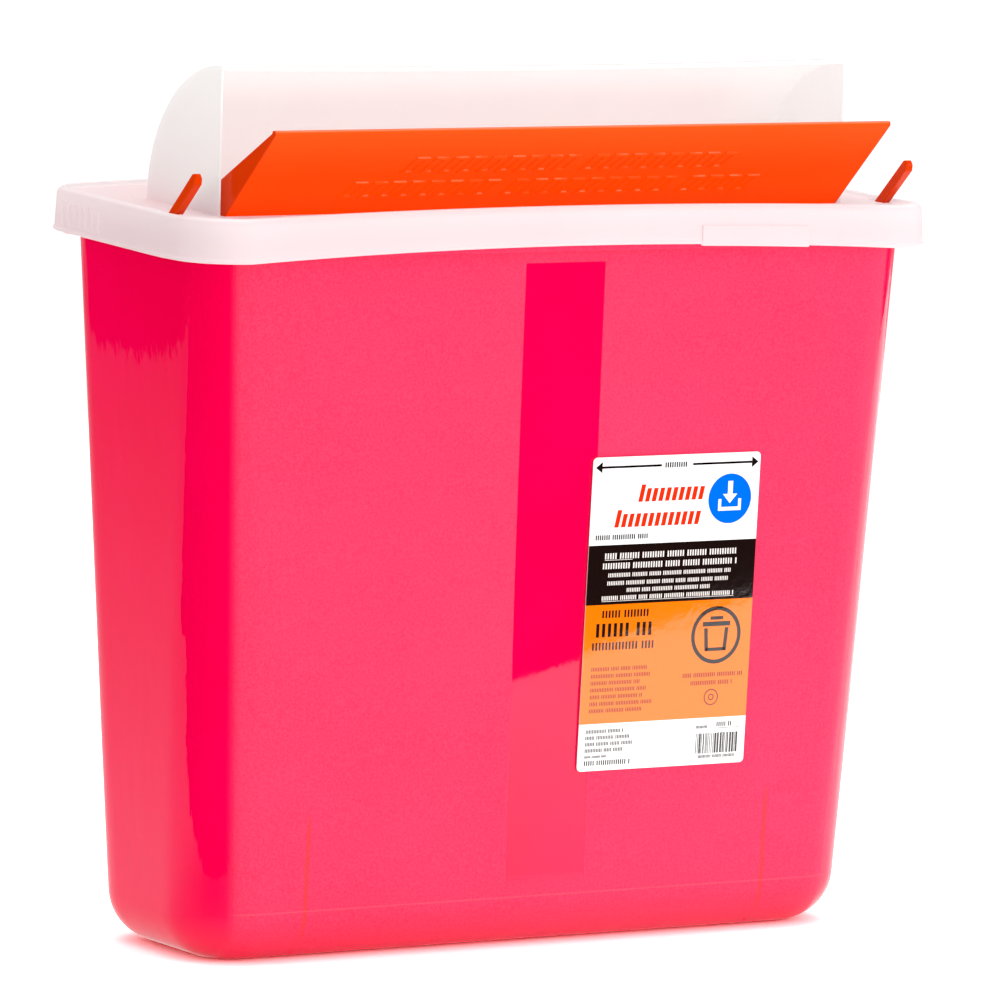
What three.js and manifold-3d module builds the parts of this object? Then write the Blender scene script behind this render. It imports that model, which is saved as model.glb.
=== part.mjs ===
// In-room sharps container with a horizontal-drop lid, in millimetres, +Z up.
// The origin is on the floor plane, midway between the sides and midway between front and back.
// +X is the container's right-hand side, +Y its back. Three mouldings and a printed film
// are modelled: tub, lid (with its fixed hood), swinging door and label.
import * as THREE from "three";
import { mergeVertices } from "three/addons/utils/BufferGeometryUtils.js";
import Module from "manifold-3d";

// ---- driving dimensions -------------------------------------------------------------------

// Tub: a drafted box, wider at the rim than at the floor.
const TUB_TOP = { x: 130.7, y: 48.8, r: 17.2 };
const TUB_FOOT = { x: 122.2, y: 37.5, r: 22.5 };
const TUB_WALL = 1.6;
const TUB_FLOOR = 2.8;
const TUB_BOTTOM_ROUND = 16;
const RIM_TOP_Z = 227.4;
const RIM_THICK = 1.6;
const RIM_LIP_DROP = 3;
const RIM_LIP_WALL = 1.4;
const RIM_LIP_CLEARANCE = 0.6;
const FOOT_RECESS = { inset: 22, depth: 1.2 };
const NEST_RIB = { x: 85, top: 50, reach: 6, thick: 1.4 };

// Lid: a tray-shaped cap whose skirt hangs over the tub's rim.
const LID_OUTLINE = { x: 135.9, y: 56.3, r: 17.5 };
const LID_WALL = 1.8;
const LID_BOTTOM_Z = 222.9;
const LID_RIM_Z = 237.4;
const LID_RIM_ROUND = 2.6;
const LID_RIM_WIDTH = 3.6;
const DECK_Z = 235.2;
const DECK_THICK = 1.5;
const SKIRT_BEAD = { out: 0.75, height: 1.3 };
const SNAP_BEAD = { inwards: 0.3, low: 223.3, high: 224.2 };
const SEAT_LEDGE = { reach: 4, gap: 0.3, thick: 1.4 };
const GRIP_RIB = { count: 9, first: 6, pitch: 4, relief: 0.5, width: 1.4, low: 224.6, high: 232 };
const PULL_TAB = { left: 43.7, right: 84, low: 222.4, high: 229.4, relief: 0.4 };

// Hood: a quarter tube over the mouth, closed by a flat wall at each end.
const HOOD_AXIS_Y = -26.5;
const HOOD_R = 46.7;
const HOOD_HALF = 115.5;
const HOOD_WALL = 1.5;
const HOOD_SINK = 1;
const MOUTH_FRONT_GAP = 1.1;

// Door: one moulding of flap, end gussets, tray, axle and two outside levers. It rests open.
const DOOR_LEAN_DEG = 48.1;
const DOOR_HALF = 113.3;
const DOOR_WALL = 1.6;
const FLAP_REACH = 41.8;
const FLAP_LIP = { thick: 2.3, tall: 2.2, rise: 0.6, round: 1 };
const PIVOT_DEPTH = 3.5;
const AXLE_R = 1.8;
const JOURNAL_CLEARANCE = 0.07;
const TRAY_END_Y = 4;
const TRAY_DROP = 0.6;
const LEVER = { x: 131.4, wide: 3.2, thick: 3.6, reach: 26.2, chamfer: 1 };
const SLOT = { front: -30.5, rimFront: -33.2, back: -19.9, side: 0.6 };
const EAR = { x: 116, thick: 3, half: 5, foot: 227.9, snap: 1.5 };
const AXLE_NOTCH = { side: 9, half: 6 };

// Raised slanted bars on the flap, in two rows: each row's middle height up the flap, its left
// end, and the width of each word.
const RELIEF = { tall: 8.6, slant: 3, raise: 0.4, sink: 0.3, gap: 4 };
const RELIEF_ROWS = [
  { up: 24.9, from: -59, words: [58, 56] },
  { up: 12.6, from: -77, words: [52, 64, 32] },
];

// Label: a thin sheet on the tub's front wall.
const LABEL = { left: 12.3, right: 75.3, low: 56, tall: 101.6, thick: 0.2, gap: 0.1, r: 1.5 };

// How finely curves are cut, and how far a cutting body runs past the wall it cuts.
const ROUND_STEPS = 8;
const SMALL_ROUND_STEPS = 4;
const CIRCLE_STEPS = 32;
const HOOD_STEPS = 20;
const PAST = 1;
const SLAB = { half: 200, thick: 60 };
const LEAST_RADIUS = 0.5;
const MERGE_DISTANCE = 1e-4;

// ---- derived places -----------------------------------------------------------------------

const LEAN = THREE.MathUtils.degToRad(DOOR_LEAN_DEG);
const PIVOT_Y = HOOD_AXIS_Y + PIVOT_DEPTH * Math.tan(LEAN);
const PIVOT_Z = DECK_Z - PIVOT_DEPTH;
const FLAP_LENGTH = FLAP_REACH + PIVOT_DEPTH / Math.cos(LEAN);
const SKIRT_INSIDE = {
  x: LID_OUTLINE.x - LID_WALL,
  y: LID_OUTLINE.y - LID_WALL,
  r: LID_OUTLINE.r - LID_WALL,
};

// ---- geometry helpers ---------------------------------------------------------------------

const wasm = await Module();
wasm.setup();

// A closed three.js geometry as a solid for adding and cutting.
function solid(geometry) {
  const bare = geometry.clone();
  bare.deleteAttribute("normal");
  bare.deleteAttribute("uv");
  const merged = mergeVertices(bare, MERGE_DISTANCE);
  return new wasm.Manifold(
    new wasm.Mesh({
      numProp: 3,
      vertProperties: merged.attributes.position.array,
      triVerts: new Uint32Array(merged.index.array),
    }),
  );
}

// A solid back as a three.js geometry.
function geometryOf(body) {
  const made = body.getMesh();
  const geometry = new THREE.BufferGeometry();
  geometry.setAttribute("position", new THREE.BufferAttribute(made.vertProperties, 3));
  geometry.setIndex(new THREE.BufferAttribute(made.triVerts, 1));
  geometry.computeVertexNormals();
  return geometry;
}

function union(bodies) {
  return bodies.reduce((all, body) => all.add(body));
}

// A rounded rectangle centred on the axis.
function roundedRect({ x, y, r }) {
  const shape = new THREE.Shape();
  shape.moveTo(x - r, -y);
  shape.absarc(x - r, -y + r, r, -Math.PI / 2, 0, false);
  shape.absarc(x - r, y - r, r, 0, Math.PI / 2, false);
  shape.absarc(-x + r, y - r, r, Math.PI / 2, Math.PI, false);
  shape.absarc(-x + r, -y + r, r, Math.PI, 1.5 * Math.PI, false);
  shape.closePath();
  return shape;
}

// The same outline grown outwards, or shrunk when by is negative.
function grown({ x, y, r }, by) {
  return { x: x + by, y: y + by, r: Math.max(r + by, LEAST_RADIUS) };
}

// A flat-ended upright prism between two heights.
function upright(outline, low, high) {
  const geometry = new THREE.ExtrudeGeometry(roundedRect(outline), {
    depth: high - low,
    bevelEnabled: false,
    curveSegments: ROUND_STEPS,
  });
  return solid(geometry.translate(0, 0, low));
}

// An upright wall that follows an outline, between two heights.
function ring(outline, wall, low, high) {
  return upright(outline, low, high).subtract(upright(grown(outline, -wall), low - PAST, high + PAST));
}

function block(x0, x1, y0, y1, z0, z1) {
  const geometry = new THREE.BoxGeometry(x1 - x0, y1 - y0, z1 - z0);
  return solid(geometry.translate((x0 + x1) / 2, (y0 + y1) / 2, (z0 + z1) / 2));
}

// A slab wider than the container, for trimming bodies flat at a height.
function slab(low) {
  return block(-SLAB.half, SLAB.half, -SLAB.half, SLAB.half, low, low + SLAB.thick);
}

// A profile drawn in (y, z), run along X from x0 to x1.
function alongX(shape, x0, x1, steps = HOOD_STEPS) {
  const geometry = new THREE.ExtrudeGeometry(shape, {
    depth: x1 - x0,
    bevelEnabled: false,
    curveSegments: steps,
  });
  const turn = new THREE.Matrix4().makeBasis(
    new THREE.Vector3(0, 1, 0),
    new THREE.Vector3(0, 0, 1),
    new THREE.Vector3(1, 0, 0),
  );
  return solid(geometry.applyMatrix4(turn).translate(x0, 0, 0));
}

function polygon(points) {
  return new THREE.Shape(points.map(([a, b]) => new THREE.Vector2(a, b)));
}

// A round bar along X about the line (y, z).
function rod(x0, x1, y, z, r) {
  const geometry = new THREE.CylinderGeometry(r, r, x1 - x0, CIRCLE_STEPS);
  return solid(geometry.rotateZ(Math.PI / 2).translate((x0 + x1) / 2, y, z));
}

// A copy on both sides of the middle plane X = 0.
function both(make) {
  return make(1).add(make(-1));
}

// ---- tub ----------------------------------------------------------------------------------

// Half sizes and corner radius of the tub's outside at a height.
function tubOutline(z) {
  const share = z / RIM_TOP_Z;
  return {
    x: THREE.MathUtils.lerp(TUB_FOOT.x, TUB_TOP.x, share),
    y: THREE.MathUtils.lerp(TUB_FOOT.y, TUB_TOP.y, share),
    r: THREE.MathUtils.lerp(TUB_FOOT.r, TUB_TOP.r, share),
  };
}

// Moves one coordinate of a foot-sized outline to its place at another height: the straight part
// keeps its share of the side, and the part past the corner's centre keeps its share of the radius.
function drafted(value, half, radius, newHalf, newRadius) {
  const straight = half - radius;
  const along = (Math.min(Math.abs(value), straight) * (newHalf - newRadius)) / straight;
  const corner = (Math.max(Math.abs(value) - straight, 0) * newRadius) / radius;
  return Math.sign(value) * (along + corner);
}

// The tub's outside (inset 0) or its hollow (inset by the wall), from floorZ to topZ.
function draftedBox(inset, floorZ, topZ) {
  const round = TUB_BOTTOM_ROUND - inset;
  const foot = grown(TUB_FOOT, -inset);
  const geometry = new THREE.ExtrudeGeometry(roundedRect(foot), {
    depth: topZ - floorZ,
    bevelThickness: round,
    bevelSize: round,
    bevelOffset: -round,
    bevelSegments: ROUND_STEPS,
    curveSegments: ROUND_STEPS,
  });
  geometry.translate(0, 0, floorZ + round);
  const place = geometry.attributes.position;
  for (let i = 0; i < place.count; i++) {
    const here = grown(tubOutline(place.getZ(i)), -inset);
    place.setX(i, drafted(place.getX(i), foot.x, foot.r, here.x, here.r));
    place.setY(i, drafted(place.getY(i), foot.y, foot.r, here.y, here.r));
  }
  return solid(geometry);
}

// A thin wedge inside the front or back wall that keeps nested tubs from jamming.
function nestRib(x, side) {
  const wallAt = (z) => side * (tubOutline(z).y - TUB_WALL / 2);
  const foot = TUB_FLOOR - PAST;
  const wedge = polygon([
    [wallAt(NEST_RIB.top), NEST_RIB.top],
    [wallAt(TUB_BOTTOM_ROUND), TUB_BOTTOM_ROUND],
    [wallAt(TUB_BOTTOM_ROUND) - side * TUB_BOTTOM_ROUND / 2, foot],
    [wallAt(TUB_BOTTOM_ROUND) - side * (NEST_RIB.reach + TUB_BOTTOM_ROUND / 2), foot],
    [wallAt(TUB_BOTTOM_ROUND) - side * NEST_RIB.reach, TUB_BOTTOM_ROUND],
  ]);
  return alongX(wedge, x - NEST_RIB.thick / 2, x + NEST_RIB.thick / 2);
}

function makeTub() {
  const lipOutline = grown(SKIRT_INSIDE, -RIM_LIP_CLEARANCE);
  const rim = union([
    upright(lipOutline, RIM_TOP_Z - RIM_THICK, RIM_TOP_Z),
    ring(lipOutline, RIM_LIP_WALL, RIM_TOP_Z - RIM_LIP_DROP, RIM_TOP_Z),
  ]);
  const foot = grown(TUB_FOOT, -FOOT_RECESS.inset);
  return draftedBox(0, 0, RIM_TOP_Z)
    .subtract(slab(RIM_TOP_Z))
    .add(rim)
    .subtract(draftedBox(TUB_WALL, TUB_FLOOR, RIM_TOP_Z))
    .subtract(upright(foot, -PAST, FOOT_RECESS.depth))
    .add(both((side) => nestRib(side * NEST_RIB.x, -1)))
    .add(both((side) => nestRib(side * NEST_RIB.x, 1)));
}

// ---- lid ----------------------------------------------------------------------------------

// The cap before anything is cut: skirt and deck in one block, its top edge rounded over.
function lidBlank() {
  const height = LID_RIM_Z - LID_BOTTOM_Z;
  const geometry = new THREE.ExtrudeGeometry(roundedRect(LID_OUTLINE), {
    depth: height,
    bevelThickness: LID_RIM_ROUND,
    bevelSize: LID_RIM_ROUND,
    bevelOffset: -LID_RIM_ROUND,
    bevelSegments: SMALL_ROUND_STEPS,
    curveSegments: ROUND_STEPS,
  });
  geometry.translate(0, 0, LID_BOTTOM_Z - LID_RIM_ROUND);
  return solid(geometry).subtract(slab(LID_BOTTOM_Z - SLAB.thick));
}

// The hood's quarter circle, drawn about its axis line at deck height.
function quarterDisc(r) {
  const shape = new THREE.Shape();
  shape.moveTo(HOOD_AXIS_Y, DECK_Z - HOOD_SINK);
  shape.lineTo(HOOD_AXIS_Y + r, DECK_Z - HOOD_SINK);
  shape.absarc(HOOD_AXIS_Y, DECK_Z, r, 0, Math.PI / 2, false);
  shape.closePath();
  return shape;
}

function makeHood() {
  const inside = HOOD_HALF - HOOD_WALL;
  const cut = new THREE.Shape();
  cut.moveTo(HOOD_AXIS_Y - PAST, DECK_Z - 2 * HOOD_SINK);
  cut.lineTo(HOOD_AXIS_Y + HOOD_R - HOOD_WALL, DECK_Z - 2 * HOOD_SINK);
  cut.absarc(HOOD_AXIS_Y, DECK_Z, HOOD_R - HOOD_WALL, 0, Math.PI / 2, false);
  cut.lineTo(HOOD_AXIS_Y - PAST, DECK_Z + HOOD_R - HOOD_WALL);
  cut.closePath();
  return alongX(quarterDisc(HOOD_R), -HOOD_HALF, HOOD_HALF).subtract(alongX(cut, -inside, inside));
}

// A hanging bearing for the door's axle, open underneath so that the axle snaps in.
function makeEar(side) {
  const low = side > 0 ? EAR.x : -EAR.x - EAR.thick;
  const high = low + EAR.thick;
  const hole = rod(low - PAST, high + PAST, PIVOT_Y, PIVOT_Z, AXLE_R + JOURNAL_CLEARANCE);
  const throat = block(
    low - PAST,
    high + PAST,
    PIVOT_Y - EAR.snap,
    PIVOT_Y + EAR.snap,
    EAR.foot - PAST,
    PIVOT_Z,
  );
  return block(low, high, PIVOT_Y - EAR.half, PIVOT_Y + EAR.half, EAR.foot, DECK_Z - DECK_THICK / 2)
    .subtract(hole)
    .subtract(throat);
}

// Grip ribs on a side skirt, towards the back.
function gripRibs(side) {
  const ribs = [];
  for (let i = 0; i < GRIP_RIB.count; i++) {
    const y = GRIP_RIB.first + i * GRIP_RIB.pitch;
    const out = side * (LID_OUTLINE.x + GRIP_RIB.relief);
    const inside = side * (LID_OUTLINE.x - LID_WALL / 2);
    ribs.push(
      block(
        Math.min(out, inside),
        Math.max(out, inside),
        y - GRIP_RIB.width / 2,
        y + GRIP_RIB.width / 2,
        GRIP_RIB.low,
        GRIP_RIB.high,
      ),
    );
  }
  return union(ribs);
}

// The ledge under the deck that sits on the tub's rim, notched where the door's axle passes.
function seatLedge() {
  const low = RIM_TOP_Z + SEAT_LEDGE.gap;
  const wall = SEAT_LEDGE.reach + LID_WALL / 2;
  const ledge = ring(grown(SKIRT_INSIDE, LID_WALL / 2), wall, low, low + SEAT_LEDGE.thick);
  const notch = (side) => {
    const x = side * SKIRT_INSIDE.x;
    const { side: reach, half } = AXLE_NOTCH;
    return block(x - reach, x + reach, PIVOT_Y - half, PIVOT_Y + half, low - PAST, DECK_Z - DECK_THICK);
  };
  const inside = upright(SKIRT_INSIDE, low - PAST, DECK_Z - DECK_THICK);
  return ledge.subtract(both(notch).intersect(inside));
}

function makeLid() {
  const bead = upright(grown(LID_OUTLINE, SKIRT_BEAD.out), LID_BOTTOM_Z, LID_BOTTOM_Z + SKIRT_BEAD.height);
  const frontFace = -LID_OUTLINE.y;
  const tab = block(
    PULL_TAB.left,
    PULL_TAB.right,
    frontFace - SKIRT_BEAD.out - PULL_TAB.relief / 2,
    frontFace + LID_WALL / 2,
    PULL_TAB.low,
    PULL_TAB.high,
  );
  const hollow = upright(SKIRT_INSIDE, LID_BOTTOM_Z - PAST, DECK_Z - DECK_THICK);
  const recess = upright(grown(LID_OUTLINE, -LID_RIM_WIDTH), DECK_Z, LID_RIM_Z + PAST);
  const mouthHalf = HOOD_HALF - HOOD_WALL;
  const mouth = block(
    -mouthHalf,
    mouthHalf,
    HOOD_AXIS_Y - MOUTH_FRONT_GAP,
    HOOD_AXIS_Y + HOOD_R - HOOD_WALL,
    DECK_Z - DECK_THICK - PAST,
    DECK_Z + PAST,
  );
  const snap = ring(SKIRT_INSIDE, SNAP_BEAD.inwards, SNAP_BEAD.low, SNAP_BEAD.high);
  const snapRoot = ring(grown(SKIRT_INSIDE, LID_WALL / 2), LID_WALL / 2, SNAP_BEAD.low, SNAP_BEAD.high);
  const slot = (side) => {
    const x = side * LEVER.x;
    const half = LEVER.wide / 2 + SLOT.side;
    const under = DECK_Z - DECK_THICK - PAST;
    const throughDeck = block(x - half, x + half, SLOT.front, SLOT.back, under, DECK_Z + PAST);
    const throughRim = block(x - half, x + half, SLOT.rimFront, SLOT.back, DECK_Z, LID_RIM_Z + PAST);
    return throughDeck.add(throughRim);
  };
  return union([lidBlank(), bead, tab, both(gripRibs)])
    .subtract(hollow)
    .subtract(recess)
    .subtract(mouth)
    .add(makeHood())
    .add(snap.add(snapRoot))
    .add(seatLedge())
    .add(both(makeEar))
    .subtract(both(slot));
}

// ---- door ---------------------------------------------------------------------------------

// A point of the door's side view: up the flap from the axle, and back from the flap's face.
function onFlap(up, back) {
  const y = PIVOT_Y - up * Math.sin(LEAN) + back * Math.cos(LEAN);
  const z = PIVOT_Z + up * Math.cos(LEAN) + back * Math.sin(LEAN);
  return [y, z];
}

// Two rows of slanted raised bars, a stand-in for moulded lettering.
function reliefBars() {
  const bars = [];
  const base = PIVOT_DEPTH / Math.cos(LEAN);
  for (const row of RELIEF_ROWS) {
    let x = row.from;
    for (const wide of row.words) {
      const shape = polygon([
        [x, 0],
        [x + wide, 0],
        [x + wide + RELIEF.slant, RELIEF.tall],
        [x + RELIEF.slant, RELIEF.tall],
      ]);
      const geometry = new THREE.ExtrudeGeometry(shape, {
        depth: RELIEF.raise + RELIEF.sink,
        bevelEnabled: false,
      });
      const [y, z] = onFlap(base + row.up - RELIEF.tall / 2, RELIEF.sink);
      const up = new THREE.Vector3(0, -Math.sin(LEAN), Math.cos(LEAN));
      const out = new THREE.Vector3(0, -Math.cos(LEAN), -Math.sin(LEAN));
      const stand = new THREE.Matrix4().makeBasis(new THREE.Vector3(1, 0, 0), up, out);
      bars.push(solid(geometry.applyMatrix4(stand).translate(0, y, z)));
      x += wide + RELIEF.gap;
    }
  }
  return union(bars);
}

function makeLever(side) {
  const back = LEVER.thick / 2;
  const top = LEVER.reach;
  const bar = polygon([
    onFlap(-AXLE_R, -back + LEVER.chamfer),
    onFlap(-AXLE_R, back - LEVER.chamfer),
    onFlap(0, back),
    onFlap(top - LEVER.chamfer, back),
    onFlap(top, back - LEVER.chamfer),
    onFlap(top, -back + LEVER.chamfer),
    onFlap(top - LEVER.chamfer, -back),
    onFlap(0, -back),
  ]);
  const x = side * LEVER.x;
  return alongX(bar, x - LEVER.wide / 2, x + LEVER.wide / 2);
}

function makeDoor() {
  const flap = polygon([
    onFlap(-AXLE_R, 0),
    onFlap(-AXLE_R, DOOR_WALL),
    onFlap(FLAP_LENGTH - FLAP_LIP.tall, DOOR_WALL),
    onFlap(FLAP_LENGTH - FLAP_LIP.tall + FLAP_LIP.rise, FLAP_LIP.thick),
    onFlap(FLAP_LENGTH - FLAP_LIP.round, FLAP_LIP.thick),
    onFlap(FLAP_LENGTH, FLAP_LIP.thick / 2),
    onFlap(FLAP_LENGTH, 0),
  ]);
  const trayTop = PIVOT_Z - TRAY_DROP;
  const tray = polygon([
    [PIVOT_Y, trayTop - DOOR_WALL],
    [TRAY_END_Y, trayTop - DOOR_WALL],
    [TRAY_END_Y, trayTop],
    [PIVOT_Y, trayTop],
  ]);
  const gusset = polygon([
    onFlap(0, DOOR_WALL / 2),
    [PIVOT_Y, trayTop - DOOR_WALL / 2],
    [TRAY_END_Y, trayTop - DOOR_WALL],
    [TRAY_END_Y, trayTop + DOOR_WALL / 2],
    onFlap(FLAP_LENGTH - FLAP_LIP.round, FLAP_LIP.thick / 2),
    onFlap(FLAP_LENGTH - FLAP_LIP.round, DOOR_WALL / 2),
  ]);
  const gussetPlate = (side) => {
    const low = side > 0 ? DOOR_HALF - DOOR_WALL : -DOOR_HALF;
    return alongX(gusset, low, low + DOOR_WALL);
  };
  const axleEnd = LEVER.x + LEVER.wide / 2;
  return union([
    alongX(flap, -DOOR_HALF, DOOR_HALF),
    alongX(tray, -DOOR_HALF, DOOR_HALF),
    both(gussetPlate),
    rod(-axleEnd, axleEnd, PIVOT_Y, PIVOT_Z, AXLE_R),
    both(makeLever),
    reliefBars(),
  ]);
}

// ---- label --------------------------------------------------------------------------------

function makeLabel() {
  const half = { x: (LABEL.right - LABEL.left) / 2, y: LABEL.tall / 2, r: LABEL.r };
  const geometry = new THREE.ExtrudeGeometry(roundedRect(half), {
    depth: LABEL.thick,
    bevelEnabled: false,
    curveSegments: SMALL_ROUND_STEPS,
  });
  const draft = Math.atan2(TUB_TOP.y - TUB_FOOT.y, RIM_TOP_Z);
  const middleZ = LABEL.low + (LABEL.tall / 2) * Math.cos(draft);
  const wallY = -tubOutline(middleZ).y - LABEL.gap;
  geometry.rotateX(Math.PI / 2 + draft);
  geometry.translate((LABEL.left + LABEL.right) / 2, wallY, middleZ);
  return solid(geometry);
}

// ---- assembly -----------------------------------------------------------------------------

function piece(name, body, color, roughness) {
  const material = new THREE.MeshStandardMaterial({ color, roughness, metalness: 0 });
  const mesh = new THREE.Mesh(geometryOf(body), material);
  mesh.name = name;
  return mesh;
}

const container = new THREE.Group();
container.name = "sharps_container";
container.add(piece("tub", makeTub(), 0xee1450, 0.3));
container.add(piece("lid", makeLid(), 0xf4ecec, 0.35));
container.add(piece("door", makeDoor(), 0xff4d0a, 0.4));
container.add(piece("label", makeLabel(), 0xffffff, 0.25));

export default container;
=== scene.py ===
"""The looks of a five-quart sharps container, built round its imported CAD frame.

Lengths are worked out in millimetres and turned to metres when a mesh is made. +X is the
container's right, +Y its back and +Z up, as in the frame.
"""

import math
import random

import bmesh
import bpy
from mathutils import Matrix, Vector


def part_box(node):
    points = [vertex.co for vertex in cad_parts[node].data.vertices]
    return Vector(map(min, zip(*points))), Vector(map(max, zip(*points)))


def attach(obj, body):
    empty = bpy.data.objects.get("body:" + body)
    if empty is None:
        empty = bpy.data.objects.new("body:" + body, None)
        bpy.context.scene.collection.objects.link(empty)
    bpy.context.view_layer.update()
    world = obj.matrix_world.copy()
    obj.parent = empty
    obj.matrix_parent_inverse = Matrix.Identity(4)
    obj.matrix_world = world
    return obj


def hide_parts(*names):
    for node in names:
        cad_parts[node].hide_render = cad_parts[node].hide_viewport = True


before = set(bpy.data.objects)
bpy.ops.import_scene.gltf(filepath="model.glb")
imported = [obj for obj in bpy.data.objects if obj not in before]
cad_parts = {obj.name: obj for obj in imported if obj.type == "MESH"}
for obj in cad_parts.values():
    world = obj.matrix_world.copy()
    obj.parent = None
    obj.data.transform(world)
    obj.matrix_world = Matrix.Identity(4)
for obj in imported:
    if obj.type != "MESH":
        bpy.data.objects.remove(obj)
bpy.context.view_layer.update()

MM = 0.001


def box_mm(node):
    """A CAD node's lowest and highest corners in millimetres."""
    low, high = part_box(node)
    return low / MM, high / MM


_, TUB_HIGH = box_mm("tub")
_, LID_HIGH = box_mm("lid")
LABEL_LOW, LABEL_HIGH = box_mm("label")

# ---- driving sizes, in millimetres ----

# The tub's outline at its rim and at its foot: half width, half depth, corner radius.
TUB_TOP = (130.7, 48.8, 17.2)
TUB_FOOT = (122.2, 37.5, 22.5)
TUB_WALL = 1.6
TUB_FLOOR = 2.8
TUB_ROUND = 16.0
RIM_Z = TUB_HIGH.z
RIM_PLATE = 1.6
RIM_LIP = 3.0
RECESS_INSET = 22.0
RECESS_DEPTH = 1.2
NEST_RIB_X = 85.0
NEST_RIB_TOP = 50.0
NEST_RIB_DEEP = 6.0
NEST_RIB_HALF = 0.7
# The broad walls sink and the end walls bulge, in their middles, as thin moulded walls do.
BROAD_SINK = 0.7
END_BULGE = 0.5
# The polished sight strip: its middle at the floor, its lean per millimetre up, half width and ends.
STRIP_X = 3.2
STRIP_LEAN = -0.0225
STRIP_HALF = 14.4
STRIP_LOW = 24.0
STRIP_HIGH = 220.1

# The lid's skirt, rim and deck.
SKIRT_BEAD = 0.45
SKIRT = (LID_HIGH.x - 0.75, LID_HIGH.y - 0.75, 17.5)
SKIRT_WALL = 1.8
SKIRT_Z = 222.9
LID_RIM_Z = 236.7
LID_ROUND = 2.6
DECK_Z = 235.2
DECK_THICK = 1.5
FRONT_BOW_LOW = 3.4
FRONT_BOW_HIGH = 2.1
BACK_RISE = 0.035
TAB_LEFT = 43.7
TAB_RIGHT = 84.0
TAB_TOP = 229.4
TAB_RELIEF = 0.62
GRIP_RIBS = 7
GRIP_FIRST_Y = 14
GRIP_PITCH = 4
GRIP_HALF = 1.3
GRIP_ROOT = 0.7
GRIP_DEEP = 1.35
# The long sides bow up between these places in X, and from this depth in Y.
BOW_HALF = 120
BOW_FROM_Y = 31
BOW_OVER_Y = 23
# The deck's slots for the levers, and the notches over them in the raised rim.
SLOT_FRONT = -30.5
SLOT_BACK = -19.9
NOTCH_FRONT = -33.2
SLOT_GAP = 0.6
# The ears that hold the axle.
EAR_INNER = 116.0
EAR_OUTER = 119.0
EAR_FOOT = 227.9
EAR_HALF = 5.0
THROAT_HALF = 1.5

# The hood over the mouth.
HOOD_Y = -26.5
HOOD_R = LID_HIGH.z - DECK_Z
HOOD_HALF = 115.5
HOOD_WALL = 1.5
HOOD_SAG = 1.0

# The door, drawn open as it rests.
LEAN = math.radians(48.1)
PIVOT_DROP = 3.5
PIVOT_Y = HOOD_Y + PIVOT_DROP * math.tan(LEAN)
PIVOT_Z = DECK_Z - PIVOT_DROP
DOOR_HALF = 113.3
DOOR_WALL = 1.6
FLAP_LENGTH = 41.8 + PIVOT_DROP / math.cos(LEAN)
TRAY_END_Y = 4.0
LEVER_X = 131.4
LEVER_WIDE = 2.8
LEVER_THICK = 3.3
LEVER_REACH = 26.2
AXLE_R = 1.8
TRAY_TOP = PIVOT_Z - 0.6

# Steps in the meshes' curves and along their walls.
CORNER_STEPS = 12
LONG_STEPS = 40
SHORT_STEPS = 14
FOOT_STEPS = 12
WALL_LEVELS = 18
HOOD_STEPS = 36
ROD_SIDES = 40


# ---- mesh helpers ----

def grown(outline, by):
    """A rounded-rectangle outline moved outwards by a distance, or inwards when it is negative."""
    half_x, half_y, radius = outline
    return half_x + by, half_y + by, max(radius + by, 0.6)


def between(a, b, share):
    return a + (b - a) * share


def outline_points(outline, z):
    """One ring of points round a rounded rectangle, anticlockwise from the front-right corner."""
    half_x, half_y, radius = outline
    centres = [(1, -1, -90), (1, 1, 0), (-1, 1, 90), (-1, -1, 180)]
    points = []
    for index, (sign_x, sign_y, start) in enumerate(centres):
        centre_x, centre_y = sign_x * (half_x - radius), sign_y * (half_y - radius)
        for step in range(CORNER_STEPS + 1):
            angle = math.radians(start + 90 * step / CORNER_STEPS)
            points.append((centre_x + radius * math.cos(angle), centre_y + radius * math.sin(angle)))
        next_x, next_y, next_start = centres[(index + 1) % 4]
        angle = math.radians(next_start)
        end = (next_x * (half_x - radius) + radius * math.cos(angle),
               next_y * (half_y - radius) + radius * math.sin(angle))
        begin = points[-1]
        steps = SHORT_STEPS if index % 2 == 0 else LONG_STEPS
        for step in range(1, steps):
            share = step / steps
            points.append((between(begin[0], end[0], share), between(begin[1], end[1], share)))
    return [Vector((x, y, z)) for x, y in points]


def loft(rings):
    """A closed body through rings of equal length, with a flat face over each end."""
    bm = bmesh.new()
    rows = [[bm.verts.new(p) for p in ring] for ring in rings]
    count = len(rows[0])
    for low, high in zip(rows, rows[1:]):
        for i in range(count):
            j = (i + 1) % count
            bm.faces.new((low[i], low[j], high[j], high[i]))
    bm.faces.new(list(reversed(rows[0])))
    bm.faces.new(rows[-1])
    bmesh.ops.recalc_face_normals(bm, faces=bm.faces)
    return bm


def prism_x(profile, x0, x1):
    """A profile of (y, z) points run along X as a closed body."""
    return loft([[Vector((x, y, z)) for y, z in profile] for x in (x0, x1)])


def block(x0, x1, y0, y1, z0, z1):
    return prism_x([(y0, z0), (y1, z0), (y1, z1), (y0, z1)], x0, x1)


def rod_x(x0, x1, y, z, radius):
    turn = [2 * math.pi * i / ROD_SIDES for i in range(ROD_SIDES)]
    return prism_x([(y + radius * math.cos(a), z + radius * math.sin(a)) for a in turn], x0, x1)


def rounded_block(x0, x1, y0, y1, z0, z1, radius, segments=3):
    return softened(block(x0, x1, y0, y1, z0, z1), radius, segments)


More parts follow.
